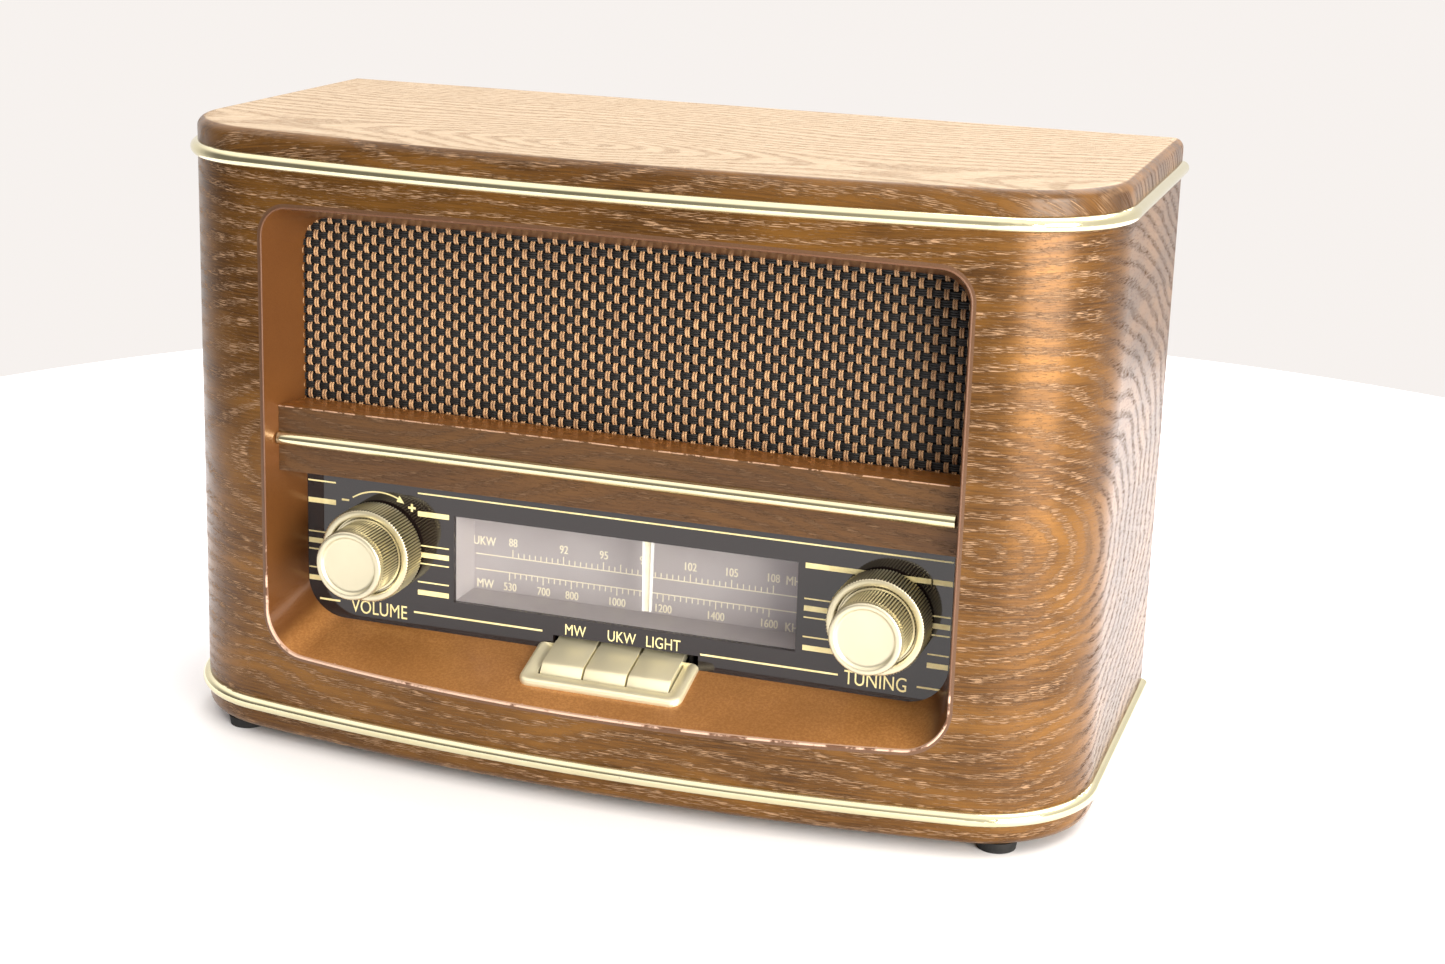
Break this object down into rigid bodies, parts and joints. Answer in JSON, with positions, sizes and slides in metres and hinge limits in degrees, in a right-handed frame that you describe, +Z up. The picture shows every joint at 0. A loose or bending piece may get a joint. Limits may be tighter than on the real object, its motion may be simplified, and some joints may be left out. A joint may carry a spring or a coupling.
{
  "type": "tabletop radio",
  "caption": "Retro tabletop radio: bowed wood cabinet, gold trims, tapered opening with woven speaker cloth, divider bar, printed dial, knurled knobs and push keys.",
  "frame": {"origin": "on the table, under the middle of the radio's box", "axes": "+X to the listener's right, the front faces -Y, +Z up"},
  "size_m": [0.325, 0.1544, 0.2135],
  "materials": {
    "veneer": "satin lacquer",
    "veneer_top": "satin lacquer",
    "brown_paint": "satin",
    "fibreboard": "matt",
    "softwood": "planed",
    "gold_trim": "polished",
    "gold_satin": "satin gold",
    "black_gloss": "gloss with pale gold print",
    "window": "translucent grey",
    "cloth": "woven",
    "white_plastic": "matt",
    "black_plastic": "matt",
    "steel": "plated",
    "rubber": "matt",
    "paper_cone": "matt",
    "ferrite": "matt",
    "board": "matt",
    "can": "satin",
    "capacitor": "sleeved",
    "winding": "taped",
    "lamp": "clear",
    "cord": "braided",
    "pointer": "gloss"
  },
  "bodies": {
    "cabinet": {"cabinet_wall": "veneer", "top_panel": "veneer_top", "bottom_panel": "veneer", "upper_trim": "gold_trim", "lower_trim": "gold_trim", "opening_surround": "brown_paint", "divider_bar": "veneer", "divider_strip": "gold_trim", "feet": "rubber", "foot_screws": "steel", "cover_screws": "steel", "back_battens": "softwood", "back_cover": "fibreboard", "inlet_pins": "steel", "mains_inlet": "black_plastic", "speaker_cloth": "cloth", "baffle_board": "fibreboard", "dial_panel": "black_gloss", "scale_window": "window", "light_box": "white_plastic", "dial_lamps": "lamp", "volume_pot": "steel", "pointer_rail": "steel", "chassis_plate": "steel", "cord_pulleys": "white_plastic", "tuning_frame": "steel", "tuning_stator": "can", "dial_cord": "cord", "key_bezel": "gold_satin", "key_pivot_rod": "steel", "switch_bank": "black_plastic", "key_spring_mw": "steel", "key_spring_ukw": "steel", "key_spring_light": "steel", "speaker_basket": "steel", "speaker_surround": "paper_cone", "speaker_cone": "paper_cone", "speaker_magnet": "ferrite", "main_board": "board", "board_standoffs": "white_plastic", "board_screws": "steel", "capacitors": "capacitor", "coil_cans": "can", "transformer_core": "steel", "transformer_winding": "winding", "ferrite_rod": "ferrite", "aerial_coils": "winding", "rod_clips": "white_plastic"},
    "volume": {"volume_knob_skirt": "gold_satin", "volume_knob_cap": "gold_satin", "volume_shaft": "steel"},
    "tuning": {"tuning_knob_skirt": "gold_satin", "tuning_knob_cap": "gold_satin", "tuning_shaft": "steel"},
    "drum": {"cord_drum": "white_plastic", "tuning_rotor": "can"},
    "pointer": {"dial_pointer": "pointer"},
    "key_mw": {"key_mw": "gold_satin"},
    "key_ukw": {"key_ukw": "gold_satin"},
    "key_light": {"key_light": "gold_satin"}
  },
  "joints": [
    {"name": "volume_turn", "type": "hinge", "parent": "cabinet", "child": "volume", "pos_m": [-0.087, -0.045, 0.0692], "axis": [0, -1, 0], "range_deg": [-150, 150]},
    {"name": "tuning_turn", "type": "hinge", "parent": "cabinet", "child": "tuning", "pos_m": [0.0926, -0.045, 0.0692], "axis": [0, -1, 0], "range_deg": [-327, 443]},
    {"name": "pointer_slide", "type": "slide", "parent": "cabinet", "child": "pointer", "axis": [1, 0, 0], "range_m": [-0.0545, 0.0405]},
    {"name": "drum_turn", "type": "hinge", "parent": "cabinet", "child": "drum", "pos_m": [0.035, -0.0195, 0.064], "axis": [0, -1, 0], "range_deg": [-80, 108]},
    {"name": "key_mw_press", "type": "hinge", "parent": "cabinet", "child": "key_mw", "pos_m": [0.0014, -0.0375, 0.0446], "axis": [1, 0, 0], "range_deg": [0, 7], "stiffness_Nm_per_rad": 0.06, "springref_deg": -6.88, "deforming": ["key_spring_mw"]},
    {"name": "key_ukw_press", "type": "hinge", "parent": "cabinet", "child": "key_ukw", "pos_m": [0.0014, -0.0375, 0.0446], "axis": [1, 0, 0], "range_deg": [0, 7], "stiffness_Nm_per_rad": 0.06, "springref_deg": -6.88, "deforming": ["key_spring_ukw"]},
    {"name": "key_light_press", "type": "hinge", "parent": "cabinet", "child": "key_light", "pos_m": [0.0014, -0.0375, 0.0446], "axis": [1, 0, 0], "range_deg": [0, 7], "stiffness_Nm_per_rad": 0.06, "springref_deg": -6.88, "deforming": ["key_spring_light"]}
  ],
  "couplings": [
    {"joint": "pointer_slide", "follows": "tuning_turn", "m_per_rad": -0.007},
    {"joint": "drum_turn", "follows": "tuning_turn", "ratio": 0.24138}
  ]
}
